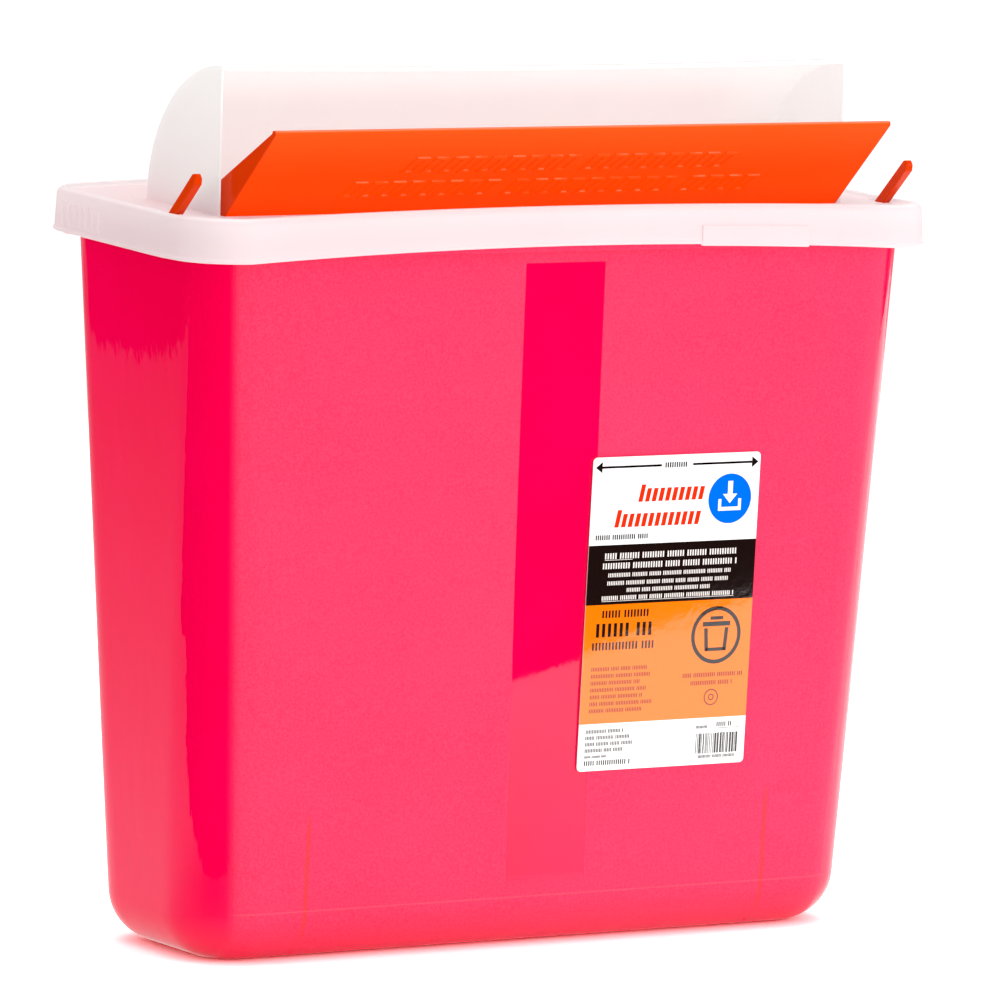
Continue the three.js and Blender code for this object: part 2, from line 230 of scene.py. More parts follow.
def softened(bm, width, segments=2, angle=40.0, keep=None):
    """Rounds every edge sharper than an angle, or only those that keep(edge) accepts."""
    limit = math.radians(angle)
    edges = []
    for edge in bm.edges:
        if len(edge.link_faces) == 2 and edge.calc_face_angle(0.0) > limit:
            if keep is None or keep(edge):
                edges.append(edge)
    bmesh.ops.bevel(bm, geom=edges, offset=width, segments=segments, profile=0.5, affect="EDGES",
                    clamp_overlap=True)
    return bm


def as_object(bm, name):
    """A mesh object in metres from a bmesh in millimetres."""
    bm.transform(Matrix.Scale(MM, 4))
    mesh = bpy.data.meshes.new(name)
    bm.to_mesh(mesh)
    bm.free()
    made = bpy.data.objects.new(name, mesh)
    bpy.context.scene.collection.objects.link(made)
    return made


def back_to_bmesh(made):
    """The bmesh in millimetres of an object, which is used up."""
    bm = bmesh.new()
    bm.from_mesh(made.data)
    bm.transform(Matrix.Scale(1 / MM, 4))
    bpy.data.objects.remove(made)
    return bm


def combined(base, others, operation):
    """Joins bodies to, or cuts them from, an object. The others are used up."""
    for number, bm in enumerate(others):
        tool = as_object(bm, f"tool_{number}")
        modifier = base.modifiers.new("combine", "BOOLEAN")
        modifier.operation = operation
        modifier.solver = "EXACT"
        modifier.object = tool
        graph = bpy.context.evaluated_depsgraph_get()
        mesh = bpy.data.meshes.new_from_object(base.evaluated_get(graph))
        base.modifiers.remove(modifier)
        old = base.data
        base.data = mesh
        bpy.data.meshes.remove(old)
        bpy.data.objects.remove(tool)
    base.data.name = base.name


def sliced(made, axis, places):
    """Adds edges where planes across an axis cut the mesh, so that it can be bent."""
    bm = bmesh.new()
    bm.from_mesh(made.data)
    normal = Vector((0, 0, 0))
    normal[axis] = 1.0
    for place in places:
        point = normal * (place * MM)
        geometry = bm.verts[:] + bm.edges[:] + bm.faces[:]
        bmesh.ops.bisect_plane(bm, geom=geometry, plane_co=point, plane_no=normal, dist=1e-7)
    bm.to_mesh(made.data)
    bm.free()


def bent(made, move):
    """Moves every vertex by move(x, y, z), in millimetres."""
    for vertex in made.data.vertices:
        vertex.co += move(*(vertex.co / MM)) * MM
    made.data.update()


def finished(made, angle=32.0, flat_area=None):
    """Welds stray doubles, then shades smooth except over real edges.

    Faces larger than flat_area, in square millimetres, are true planes and are shaded flat.
    """
    bm = bmesh.new()
    bm.from_mesh(made.data)
    bmesh.ops.remove_doubles(bm, verts=bm.verts, dist=2e-7)
    bmesh.ops.dissolve_degenerate(bm, edges=bm.edges, dist=1e-7)
    bm.to_mesh(made.data)
    bm.free()
    made.data.shade_smooth()
    made.data.set_sharp_from_angle(angle=math.radians(angle))
    if flat_area:
        for face in made.data.polygons:
            face.use_smooth = face.area < flat_area * MM * MM
    weighted = made.modifiers.new("even_normals", "WEIGHTED_NORMAL")
    weighted.keep_sharp = True


def placed(made, material, node, body):
    """Gives a finished piece its material and slot, hides its CAD node, and ties it to its body."""
    made.data.materials.append(material)
    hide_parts(node)
    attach(made, body)


# ---- material helpers ----

def linear(red, green, blue):
    """A display colour, 0 to 255, as linear light."""
    def channel(value):
        value /= 255
        return value / 12.92 if value <= 0.04045 else ((value + 0.055) / 1.055) ** 2.4
    return channel(red), channel(green), channel(blue), 1.0


class Graph:
    """A short way to write the nodes of a material or a world."""

    def __init__(self, owner, output="ShaderNodeOutputMaterial"):
        owner.use_nodes = True
        self.owner = owner
        self.tree = owner.node_tree
        self.tree.nodes.clear()
        self.output = self.tree.nodes.new(output)

    def put(self, socket, value):
        if isinstance(value, bpy.types.NodeSocket):
            self.tree.links.new(value, socket)
        elif value is not None:
            socket.default_value = value

    def fill(self, made, *values):
        """Sets or links a node's inputs in order, and gives the node back."""
        for socket, value in zip(made.inputs, values):
            self.put(socket, value)
        return made

    def node(self, kind, **inputs):
        made = self.tree.nodes.new(kind)
        for key, value in inputs.items():
            self.put(made.inputs[key.replace("_", " ")], value)
        return made

    def vector_math(self, operation, *values):
        made = self.node("ShaderNodeVectorMath")
        made.operation = operation
        return self.fill(made, *values)

    def math(self, operation, a, b=None, c=None, clamp=False):
        made = self.node("ShaderNodeMath")
        made.operation = operation
        made.use_clamp = clamp
        return self.fill(made, a, b, c).outputs[0]

    def step(self, value, low, high, start=0.0, end=1.0):
        """A smooth change from start to end as value passes from low to high."""
        made = self.node("ShaderNodeMapRange")
        made.interpolation_type = "SMOOTHSTEP"
        return self.fill(made, value, low, high, start, end).outputs[0]

    def mix(self, share, a, b):
        """One colour going over into another."""
        made = self.node("ShaderNodeMix")
        made.data_type = "RGBA"
        self.put(made.inputs[0], share)
        self.put(made.inputs[6], a)
        self.put(made.inputs[7], b)
        return made.outputs[2]

    def blend(self, share, a, b):
        """One shader going over into another."""
        return self.fill(self.node("ShaderNodeMixShader"), share, a, b).outputs[0]

    def inverse(self, share):
        return self.math("SUBTRACT", 1.0, share)

    def place(self):
        """The point's place in millimetres, in the frame at rest: x, y and z."""
        where = self.node("ShaderNodeTexCoord").outputs["Object"]
        scaled = self.vector_math("SCALE", where)
        scaled.inputs["Scale"].default_value = 1 / MM
        self.where = scaled.outputs[0]
        return self.node("ShaderNodeSeparateXYZ", Vector=self.where).outputs

    def noise(self, scale, detail, roughness):
        """Soft noise whose features are about 1 / scale millimetres across."""
        made = self.node("ShaderNodeTexNoise", Vector=self.where, Scale=scale, Detail=detail,
                         Roughness=roughness)
        return made.outputs[0]

    def streaks(self, along_x, along_y, along_z, detail=2.0):
        """Noise drawn out in one direction: features are 1 / along_x millimetres long in X, and so on."""
        drawn = self.vector_math("MULTIPLY", self.where, (along_x, along_y, along_z)).outputs[0]
        return self.node("ShaderNodeTexNoise", Vector=drawn, Scale=1.0, Detail=detail).outputs[0]

    def facing(self):
        """Where the surface faces, in the room: x, y and z from -1 to 1."""
        turned = self.node("ShaderNodeNewGeometry").outputs["True Normal"]
        return self.node("ShaderNodeSeparateXYZ", Vector=turned).outputs

    def bump(self, height, distance, strength, normal=None):
        """A normal for a relief that is distance millimetres high, over an earlier normal."""
        return self.node("ShaderNodeBump", Height=height, Distance=distance * MM, Strength=strength,
                         Normal=normal).outputs[0]

    def finish(self, shader):
        self.put(self.output.inputs["Surface"], shader)
        return self.owner


def new_material(name):
    return Graph(bpy.data.materials.new(name))


PALE = (0.9, 0.9, 0.9, 1.0)


def translucent_plastic(graph, colour, through, share, roughness, normal, specular, clear, calm=0.0,
                        glow=0.0):
    """Moulded plastic that lets part of the light through: a glossy front over a diffusing wall.

    share is how much of the wall lets light through, and through is the colour of that light.
    clear is the share of the studio's light that passes straight on, coloured, to what is behind.
    calm pales the light that it throws on its neighbours, from 0 (all its colour) to 1 (white).
    glow stands in for light that spreads inside the wall from its brighter parts.
    """
    path = graph.node("ShaderNodeLightPath").outputs
    pale = graph.math("MULTIPLY", path["Is Diffuse Ray"], calm)
    colour = graph.mix(pale, colour, PALE)
    through = graph.mix(pale, through, PALE)
    front = graph.node("ShaderNodeBsdfPrincipled", Base_Color=colour, Roughness=roughness,
                       Normal=normal)
    for name, value in (("Specular IOR Level", specular), ("Emission Color", colour),
                        ("Emission Strength", glow)):
        graph.put(front.inputs[name], value)
    back = graph.node("ShaderNodeBsdfTranslucent", Color=through, Normal=normal)
    wall = graph.blend(share, front.outputs[0], back.outputs[0])
    passing = graph.math("MAXIMUM", path["Is Shadow Ray"], path["Is Diffuse Ray"])
    open_wall = graph.node("ShaderNodeBsdfTransparent", Color=through).outputs[0]
    return graph.blend(graph.math("MULTIPLY", passing, clear), wall, open_wall)


def tub_material():
    """Red polypropylene: fine matte grain on the broad faces, polished corners, ends and strip."""
    g = new_material("tub_plastic")
    x, y, z = g.place()
    from_middle = g.math("ABSOLUTE", x)
    # How far round a corner a point is: the sine of the wall's turn, 0 along the broad faces.
    foot_half, _, foot_corner = TUB_FOOT
    top_half, _, top_corner = TUB_TOP
    flat_half = foot_half - foot_corner
    flat_growth = (top_half - top_corner - flat_half) / RIM_Z
    corner_growth = (top_corner - foot_corner) / RIM_Z
    past = g.math("SUBTRACT", from_middle, g.math("MULTIPLY_ADD", z, flat_growth, flat_half))
    turn = g.math("DIVIDE", past, g.math("MULTIPLY_ADD", z, corner_growth, foot_corner))
    broad = g.step(turn, 0.53, 0.30)
    # The polished sight strip on the front.
    strip_middle = g.math("MULTIPLY_ADD", z, STRIP_LEAN, STRIP_X)
    across = g.math("ABSOLUTE", g.math("SUBTRACT", x, strip_middle))
    in_strip = g.step(across, STRIP_HALF + 0.5, STRIP_HALF)
    ends = g.math("MULTIPLY", g.step(z, STRIP_LOW - 4.0, STRIP_LOW), g.step(z, STRIP_HIGH + 0.5, STRIP_HIGH))
    on_front = g.math("LESS_THAN", y, 0.0)
    strip = g.math("MULTIPLY", g.math("MULTIPLY", in_strip, ends), on_front)
    matte = g.math("MULTIPLY", broad, g.inverse(strip), clamp=True)

    grain = g.noise(1.25, 3.0, 0.7)
    fine = g.noise(4.5, 2.0, 0.7)
    cloud = g.noise(0.02, 3.0, 0.5)
    flow = g.noise(0.08, 2.0, 0.5)
    polished = g.mix(g.step(cloud, 0.35, 0.65), linear(252, 0, 84), linear(255, 0, 92))
    grained = g.mix(g.step(cloud, 0.3, 0.7), linear(255, 44, 98), linear(255, 50, 104))
    grained = g.mix(g.math("MULTIPLY", g.step(grain, 0.36, 0.66), 0.42), grained, linear(255, 92, 136))
    colour = g.mix(matte, polished, grained)
    # The nesting ribs inside show through as faint brownish lines: painted shade of the ribs behind the
    # wall.
    off_rib = g.math("ABSOLUTE", g.math("SUBTRACT", from_middle, NEST_RIB_X))
    rib_shade_line = g.math("MULTIPLY", g.step(off_rib, 1.1, 0.25), g.step(z, NEST_RIB_TOP, NEST_RIB_TOP - 8.0))
    rib_shade_line = g.math("MULTIPLY", rib_shade_line, g.step(z, 3.0, 10.0, 0.0, 0.8))
    colour = g.mix(g.math("MULTIPLY", rib_shade_line, matte), colour, linear(226, 62, 58))
    # A painted highlight, a fine light line, runs where the walls turn into the foot, and painted shade
    # makes the foot's turn deeper.
    turn_z = TUB_ROUND + 0.5
    off_turn = g.math("ABSOLUTE", g.math("SUBTRACT", z, turn_z))
    painted_turn_highlight = g.math("MULTIPLY", g.step(off_turn, 0.35, 0.1, 0.0, 0.2), matte)
    colour = g.mix(painted_turn_highlight, colour, linear(255, 150, 160))
    colour = g.mix(g.step(z, turn_z, 5.0, 0.0, 0.45), colour, linear(255, 24, 78))
    through = g.mix(matte, linear(255, 0, 80), linear(255, 36, 96))

    rough_matte = g.step(fine, 0.3, 0.7, 0.42, 0.56)
    rough_gloss = g.step(flow, 0.35, 0.65, 0.015, 0.03)
    roughness = g.math("ADD", g.math("MULTIPLY", rough_matte, matte),
                       g.math("MULTIPLY", rough_gloss, g.inverse(matte)))
    relief = g.math("MULTIPLY", g.math("ADD", grain, g.math("MULTIPLY", fine, 0.6)), matte)
    normal = g.bump(relief, 0.05, 0.6)
    # Polished faces carry the upright streaks of the mould's draw, faint on the strip.
    to_ends = g.step(from_middle, 60.0, 110.0, 0.06, 1.0)
    drawn = g.math("MULTIPLY", g.streaks(0.5, 0.22, 0.035, 3.0), to_ends)
    normal = g.bump(drawn, 0.12, 1.0, normal)
    # The foot's underside turns away from the light: less shine, less light through to the table,
    # and all of the tub's colour in the light it throws there.
    shine = g.step(z, 1.0, 9.0, 0.05, 0.5)
    clear = g.step(z, 4.0, 24.0, 0.03, 0.25)
    calm = g.step(z, 6.0, 30.0, 0.0, 0.75)
    return g.finish(translucent_plastic(g, colour, through, 0.42, roughness, normal, shine, clear, calm))


def lid_material():
    """Natural polypropylene: milky, softly polished, with faint flow marks."""
    g = new_material("lid_plastic")
    _, _, z = g.place()
    cloud = g.noise(0.03, 1.0, 0.5)
    fine = g.noise(2.2, 2.0, 0.6)
    # The skirt carries painted light: a pink tint for the red rim's light that comes through it from behind;
    # the hood stands clear of it.
    above = g.step(z, 234.0, 246.0)
    skirt = g.mix(cloud, linear(237, 229, 232), linear(241, 235, 237))
    hood = g.mix(cloud, linear(237, 239, 239), linear(241, 243, 243))
    # Painted shade: the hood's outer skin faces up and back, and is drawn darker than the inside that its
    # mouth shows.
    _, _, up = g.facing()
    hood = g.mix(g.step(up, 0.02, 0.3), hood, linear(214, 212, 212))
    # Painted light: the upward faces of the skirt, rim and deck are drawn lighter.
    skirt = g.mix(g.step(up, 0.6, 0.9), skirt, linear(252, 248, 249))
    colour = g.mix(above, skirt, hood)
    through = g.mix(above, linear(250, 243, 244), linear(251, 250, 249))
    roughness = g.math("MULTIPLY_ADD", fine, 0.08, 0.22)
    normal = g.bump(g.streaks(0.12, 0.12, 0.04), 0.04, 0.3)
    normal = g.bump(fine, 0.003, 0.3, normal)
    return g.finish(translucent_plastic(g, colour, through, 0.45, roughness, normal, 0.4, 0.45))


def door_material():
    """Orange polypropylene, nearly opaque: a satin flap, with polished gussets and levers."""
    g = new_material("door_plastic")
    x, _, z = g.place()
    cloud = g.noise(0.05, 2.0, 0.5)
    fine = g.noise(2.6, 2.0, 0.6)
    polished = g.step(g.math("ABSOLUTE", x), DOOR_HALF - 0.5, DOOR_HALF - 0.1)
    # Painted highlights on narrow ledges that face forwards and up: all of the flap's top edge, and uneven
    # ones below it.
    _, back, up = g.facing()
    ledge = g.math("MULTIPLY", g.step(up, 0.35, 0.6), g.step(back, -0.3, -0.6))
    uneven = g.step(g.noise(0.14, 1.0, 0.5), 0.42, 0.58, 0.1, 0.5)
    ledge = g.math("MULTIPLY", ledge, g.math("MAXIMUM", uneven, g.step(z, 257.0, 260.0)))
    satin = g.mix(cloud, linear(253, 68, 0), linear(255, 74, 0))
    # Painted light: the flap is drawn lighter towards its top, which catches more light.
    satin = g.mix(g.step(z, 246.0, 264.0), satin, linear(255, 88, 24))
    satin = g.mix(ledge, satin, linear(255, 150, 112))
    # Painted shade: the polished gussets and levers are drawn darker, as they face away from the light.
    colour = g.mix(polished, satin, linear(210, 54, 0))
    roughness = g.math("MULTIPLY_ADD", fine, 0.08, g.step(polished, 0.0, 1.0, 0.24, 0.10))
    specular = g.step(polished, 0.0, 1.0, 0.03, 0.08)
    normal = g.bump(cloud, 0.10, 0.2)
    normal = g.bump(fine, 0.012, 0.4, normal)
    share = g.step(polished, 0.0, 1.0, 0.35, 0.10)
    # The glow stands in for light that spreads inside the flap, down to its shaded foot.
    glow = g.math("MULTIPLY", g.step(z, 258.0, 234.0, 0.0, 0.3), g.inverse(polished))
    return g.finish(translucent_plastic(g, colour, linear(255, 72, 0), share, roughness, normal,
                                        specular, 0.2, 0.92, glow))


def print_material(name, colour):
    """Glossy printed film: an even ink with a faint orange-peel surface and slight ink mottle."""
    g = new_material(name)
    g.place()
    peel = g.noise(0.16, 4.0, 0.6)
    mottle = g.noise(6.0, 1.0, 0.5)
    darker = tuple(c * 0.93 for c in colour[:3]) + (1.0,)
    ink = g.mix(g.step(mottle, 0.35, 0.7), colour, darker)
    normal = g.bump(peel, 0.06, 0.5)
    rough = g.step(mottle, 0.3, 0.7, 0.04, 0.06)
    shader = g.node("ShaderNodeBsdfPrincipled", Base_Color=ink, Roughness=rough, Normal=normal)
    g.put(shader.inputs["Specular IOR Level"], 0.5)
    return g.finish(shader.outputs[0])


# ---- tub ----

def tub_outline(z, inset=0.0):
    """The tub's outside at a height, or the hollow when it is inset by the wall."""
    share = z / RIM_Z
    outline = tuple(between(a, b, share) for a, b in zip(TUB_FOOT, TUB_TOP))
    return grown(outline, -inset)


def rounded_foot(floor_z, inset, radius):
    """Rings round the turn from the floor to the wall, floor first."""
    rings = []
    for step in range(FOOT_STEPS + 1):
        angle = math.radians(90 * step / FOOT_STEPS)
        z = floor_z + radius * (1 - math.cos(angle))
        outline = tub_outline(z, inset + radius * (1 - math.sin(angle)))
        rings.append(outline_points(outline, z))
    return rings


def tub_body():
    """Outside from the recess up to the rim, over the lip, and down the hollow to the floor."""
    rings = []
    for more, z in ((1.0, RECESS_DEPTH), (0.0, RECESS_DEPTH * 0.7), (-0.8, 0.15), (-1.4, 0.0)):
        rings.append(outline_points(tub_outline(0, RECESS_INSET + more), z))
    rings += rounded_foot(0.0, 0.0, TUB_ROUND)
    wall_top = RIM_Z - RIM_PLATE
    for level in range(1, WALL_LEVELS + 1):
        z = between(TUB_ROUND, wall_top - 0.8, level / WALL_LEVELS)
        rings.append(outline_points(tub_outline(z), z))
    lip = grown(SKIRT, -SKIRT_WALL - 0.6)
    lip_inside = grown(lip, -1.4)
    lip_low = RIM_Z - RIM_LIP
    for outline, by, z in (
            (tub_outline(wall_top), 0.8, wall_top),
            (lip_inside, -0.5, wall_top),
            (lip_inside, 0.0, wall_top - 0.5),
            (lip_inside, 0.0, lip_low + 0.3),
            (lip_inside, 0.3, lip_low),
            (lip, -0.3, lip_low),
            (lip, 0.0, lip_low + 0.3),
            (lip, 0.0, RIM_Z - 0.8),
            (lip, -0.24, RIM_Z - 0.24),
            (lip, -0.8, RIM_Z),
            (tub_outline(RIM_Z), 0.5 - TUB_WALL, RIM_Z),
            (tub_outline(RIM_Z - 0.5), -TUB_WALL, RIM_Z - 0.5)):
        rings.append(outline_points(grown(outline, by), z))
    for level in range(1, WALL_LEVELS):
        z = between(RIM_Z - 0.5, TUB_FLOOR + TUB_ROUND - TUB_WALL, level / WALL_LEVELS)
        rings.append(outline_points(tub_outline(z, TUB_WALL), z))
    rings += reversed(rounded_foot(TUB_FLOOR, TUB_WALL, TUB_ROUND - TUB_WALL))
    return loft(rings)


def nest_rib(x, side):
    """A thin wedge inside the front (side -1) or back (side 1) wall."""
    def wall(z):
        return side * (tub_outline(z)[1] - TUB_WALL / 2)
    low = TUB_FLOOR - 1
    root = wall(TUB_ROUND) - side * TUB_ROUND / 2
    deep = side * NEST_RIB_DEEP
    profile = [
        (wall(NEST_RIB_TOP), NEST_RIB_TOP),
        (wall(TUB_ROUND), TUB_ROUND),
        (root, low),
        (root - deep, low),
        (wall(TUB_ROUND) - deep, TUB_ROUND),
    ]
    return prism_x(profile, x - NEST_RIB_HALF, x + NEST_RIB_HALF)


def make_tub():
    tub = as_object(tub_body(), "tub_shell")
    ribs = [nest_rib(x, side) for x in (-NEST_RIB_X, NEST_RIB_X) for side in (-1, 1)]
    combined(tub, ribs, "UNION")

    def breathe(x, y, z):
        # The walls' middles are 120 mm up; broad walls lie past 25 mm in Y, end walls past 100 in X.
        up = max(0.0, 1 - ((z - 120) / 105) ** 2)
        sink = BROAD_SINK * up * max(0.0, 1 - (x / 112) ** 2) if abs(y) > 25 else 0.0
        bulge = END_BULGE * up * max(0.0, 1 - (y / 38) ** 2) if abs(x) > 100 else 0.0
        return Vector((math.copysign(bulge, x), -math.copysign(sink, y), 0))

    bent(tub, breathe)
    finished(tub)
    placed(tub, tub_material(), "tub", "tub")


# ---- lid ----

def cap_body():
    """The skirt, rim and deck: under the deck, down inside the skirt, and up the outside."""
    under = DECK_Z - DECK_THICK
    ledge_low = RIM_Z + 0.3
    ledge_high = ledge_low + 1.4
    inside = -SKIRT_WALL

    def ring(by, z):
        return outline_points(grown(SKIRT, by), z)

    # The deck's underside, the seat ledge, the snap bead and the bottom edge.
    rings = [ring(inside + by, z) for by, z in (
        (-0.8, under), (-0.2, under - 0.3), (0.0, under - 0.9),
        (0.0, ledge_high + 0.2), (-0.3, ledge_high), (-3.8, ledge_high), (-4.0, ledge_high - 0.2),
        (-4.0, ledge_low + 0.2), (-3.8, ledge_low), (0.0, ledge_low),
        (0.0, SKIRT_Z + 1.6), (-0.3, SKIRT_Z + 1.1), (-0.3, SKIRT_Z + 0.6), (0.0, SKIRT_Z + 0.3),
        (0.3, SKIRT_Z))]
    # The bead along the skirt's foot, and the skirt's outside.
    rings += [ring(by, SKIRT_Z + up) for by, up in (
        (SKIRT_BEAD - 0.35, 0.0), (SKIRT_BEAD - 0.1, 0.15), (SKIRT_BEAD, 0.45), (SKIRT_BEAD, 0.9),
        (SKIRT_BEAD - 0.3, 1.25), (0.05, 1.5), (0.0, 2.2), (-0.25, (LID_RIM_Z - SKIRT_Z) / 2))]
    rim = -0.5
    for step in range(7):
        angle = math.radians(90 * step / 6)
        by = rim - LID_ROUND * (1 - math.cos(angle))
        rings.append(ring(by, LID_RIM_Z - LID_ROUND * (1 - math.sin(angle))))
    # The raised rim's inner edge, down to the deck.
    rings += [ring(rim - LID_ROUND - by, z) for by, z in (
        (0.5, LID_RIM_Z), (1.0, LID_RIM_Z - 0.25), (1.4, between(DECK_Z, LID_RIM_Z, 0.4)),
        (2.0, DECK_Z + 0.12), (2.8, DECK_Z))]
    return loft(rings)


def quarter_profile(radius, foot_z, front_y):
    """The hood's side view: from the front foot, round the arc from the back to the top."""
    points = [(front_y, foot_z), (HOOD_Y + radius, foot_z)]
    for step in range(HOOD_STEPS + 1):
        angle = math.radians(90 * step / HOOD_STEPS)
        points.append((HOOD_Y + radius * math.cos(angle), DECK_Z + radius * math.sin(angle)))
    if front_y < HOOD_Y:
        points.append((front_y, DECK_Z + radius))
    return points


def hood_body():
    outside = prism_x(quarter_profile(HOOD_R, DECK_Z - 0.9, HOOD_Y), -HOOD_HALF, HOOD_HALF)

    def on_end(edge):
        ends = [abs(abs(v.co.x) - HOOD_HALF) < 1e-4 and v.co.z > DECK_Z - 0.5 for v in edge.verts]
        return all(ends)
    softened(outside, 1.0, 3, 40.0, on_end)
    hood = as_object(outside, "hood_tool")
    radius = HOOD_R - HOOD_WALL
    inside = HOOD_HALF - HOOD_WALL
    hollow = prism_x(quarter_profile(radius, DECK_Z - 4, HOOD_Y - 5), -inside, inside)
    # The walls thin towards the hood's open front.
    wedges = []
    for side in (-1, 1):
        flare = [(side * (inside - 1), HOOD_Y + 7), (side * inside, HOOD_Y + 7),
                 (side * (inside + 1.0), HOOD_Y - 1), (side * (inside - 1), HOOD_Y - 1)]
        levels = (DECK_Z - 4, LID_HIGH.z - HOOD_WALL)
        wedges.append(loft([[Vector((x, y, z)) for x, y in flare] for z in levels]))
    combined(hood, [hollow] + wedges, "DIFFERENCE")
    return back_to_bmesh(hood)


def grip_rib(side, y):
    """One upright half-round rib on a side skirt."""
    root = SKIRT[0] - GRIP_ROOT
    rings = []
    # The rib is full between its ends and shallower at them.
    for z, fullness in ((225.2, 0.7), (226.0, 1.0), (231.4, 1.0), (232.6, 0.4)):
        ring = []
        for step in range(9):
            angle = math.radians(180 * step / 8)
            x = root + GRIP_DEEP * fullness * math.sin(angle)
            ring.append(Vector((side * x, y + GRIP_HALF * math.cos(angle), z)))
        rings.append(ring)
    return loft(rings)


def bearing(side):
    """The hanging ear that the door's axle snaps into."""
    low, high = sorted((side * EAR_INNER, side * EAR_OUTER))
    ear = as_object(rounded_block(low, high, PIVOT_Y - EAR_HALF, PIVOT_Y + EAR_HALF,
                                  EAR_FOOT, DECK_Z - DECK_THICK / 2, 0.4, 2), "ear")
    hole = rod_x(low - 1, high + 1, PIVOT_Y, PIVOT_Z, AXLE_R + 0.12)
    throat = block(low - 1, high + 1, PIVOT_Y - THROAT_HALF, PIVOT_Y + THROAT_HALF, EAR_FOOT - 8, PIVOT_Z)
    combined(ear, [hole, throat], "DIFFERENCE")
    return back_to_bmesh(ear)


def lid_warp(x, y, z):
    """The moulded lid isn't flat: its long sides bow up and its deck climbs to the back."""
    across = max(0.0, 1 - (x / BOW_HALF) ** 2)
    share = min(1.0, max(0.0, (z - SKIRT_Z) / (LID_RIM_Z - SKIRT_Z)))
    amount = between(FRONT_BOW_LOW, FRONT_BOW_HIGH, share)
    outward = min(1.0, max(0.0, (abs(y) - BOW_FROM_Y) / BOW_OVER_Y))
    outward = outward * outward * (3 - 2 * outward)
    lift = amount * across * outward if z < LID_RIM_Z + 0.5 else 0.0
    height = min(1.0, max(0.0, (z - DECK_Z) / HOOD_R))
    lift += BACK_RISE * max(0.0, y - HOOD_Y) * (1 - height)
    lift -= HOOD_SAG * max(0.0, 1 - (x / HOOD_HALF) ** 2) * height
    return Vector((0, 0, lift))


def make_lid():
    lid = as_object(cap_body(), "lid_shell")
    front = -SKIRT[1]
    tab = rounded_block(TAB_LEFT, TAB_RIGHT, front - TAB_RELIEF, front + 0.8, SKIRT_Z - 0.5, TAB_TOP, 0.3)
    ribs = [grip_rib(side, GRIP_FIRST_Y + GRIP_PITCH * i) for side in (-1, 1) for i in range(GRIP_RIBS)]
    combined(lid, [hood_body(), tab] + ribs, "UNION")
    mouth_half = HOOD_HALF - HOOD_WALL
    mouth_back = HOOD_Y + HOOD_R - HOOD_WALL
    mouth = block(-mouth_half, mouth_half, HOOD_Y - 1.1, mouth_back, DECK_Z - 3, DECK_Z + 0.5)
    cuts = [mouth]
    for side in (-1, 1):
        x = side * LEVER_X
        half = LEVER_WIDE / 2 + SLOT_GAP
        cuts.append(block(x - half, x + half, SLOT_FRONT, SLOT_BACK, DECK_Z - 3, DECK_Z + 0.5))
        cuts.append(block(x - half, x + half, NOTCH_FRONT, SLOT_BACK, DECK_Z + 0.02, LID_RIM_Z + 3))
        inner = SKIRT[0] - SKIRT_WALL - 0.05
        low, high = sorted((side * inner, side * (inner - 8)))
        cuts.append(block(low, high, PIVOT_Y - 6, PIVOT_Y + 6, RIM_Z - 1, DECK_Z - DECK_THICK - 1.0))
    combined(lid, cuts, "DIFFERENCE")
    combined(lid, [bearing(-1), bearing(1)], "UNION")
    sliced(lid, 0, range(-BOW_HALF, BOW_HALF + 1, 8))
    sliced(lid, 1, [*range(-50, -31, 6), *range(26, 51, 6)])
    bent(lid, lid_warp)
    finished(lid, 30.0)
    placed(lid, lid_material(), "lid", "lid")


# ---- door ----

def on_flap(up, back):
    """A point of the door's side view: up the flap from the axle, and back from its face."""
    y = PIVOT_Y - up * math.sin(LEAN) + back * math.cos(LEAN)
    z = PIVOT_Z + up * math.cos(LEAN) + back * math.sin(LEAN)
    return y, z


def flap_body():
    """The flap with a rounded bead along its top edge."""
    length = FLAP_LENGTH
    profile = [on_flap(-AXLE_R, 0), on_flap(-AXLE_R, DOOR_WALL), on_flap(length - 2.4, DOOR_WALL)]
    bead = 0.95
    for step in range(13):
        angle = math.radians(-75 + 255 * step / 12)
        up = length - bead + bead * math.sin(angle)
        profile.append(on_flap(up, bead * 0.95 + bead * math.cos(angle)))
    return prism_x(profile, -DOOR_HALF, DOOR_HALF)


def gusset_body(side):
    profile = [
        on_flap(0, DOOR_WALL / 2),
        (PIVOT_Y, TRAY_TOP - DOOR_WALL / 2),
        (TRAY_END_Y, TRAY_TOP - DOOR_WALL),
        (TRAY_END_Y, TRAY_TOP + DOOR_WALL / 2),
        on_flap(FLAP_LENGTH - 1.2, 1.6),
        on_flap(FLAP_LENGTH - 1.2, DOOR_WALL / 2),
    ]
    low, high = sorted((side * DOOR_HALF, side * (DOOR_HALF - DOOR_WALL)))
    return softened(prism_x(profile, low, high), 0.35, 2)


def tray_body():
    under = TRAY_TOP - DOOR_WALL
    return softened(block(-DOOR_HALF, DOOR_HALF, PIVOT_Y, TRAY_END_Y, under, TRAY_TOP), 0.3)


def lever_body(side):
    """An outside lever: a square bar on the axle's end with a faceted tip."""
    rings = []
    for up, size, front in ((-AXLE_R, 0.7, 0.7), (0.0, 1.0, 1.0), (LEVER_REACH - 2.2, 1.0, 1.0),
                            (LEVER_REACH - 0.9, 1.0, 0.35), (LEVER_REACH, 0.6, 0.0)):
        half, deep = size * LEVER_WIDE / 2, LEVER_THICK / 2
        ring = []
        for across, back in ((-half, deep * size), (-half, -deep * front),
                             (half, -deep * front), (half, deep * size)):
            y, z = on_flap(up, back)
            ring.append(Vector((side * LEVER_X + across, y, z)))
        rings.append(ring)
    return softened(loft(rings), 0.22, 2, 25.0)


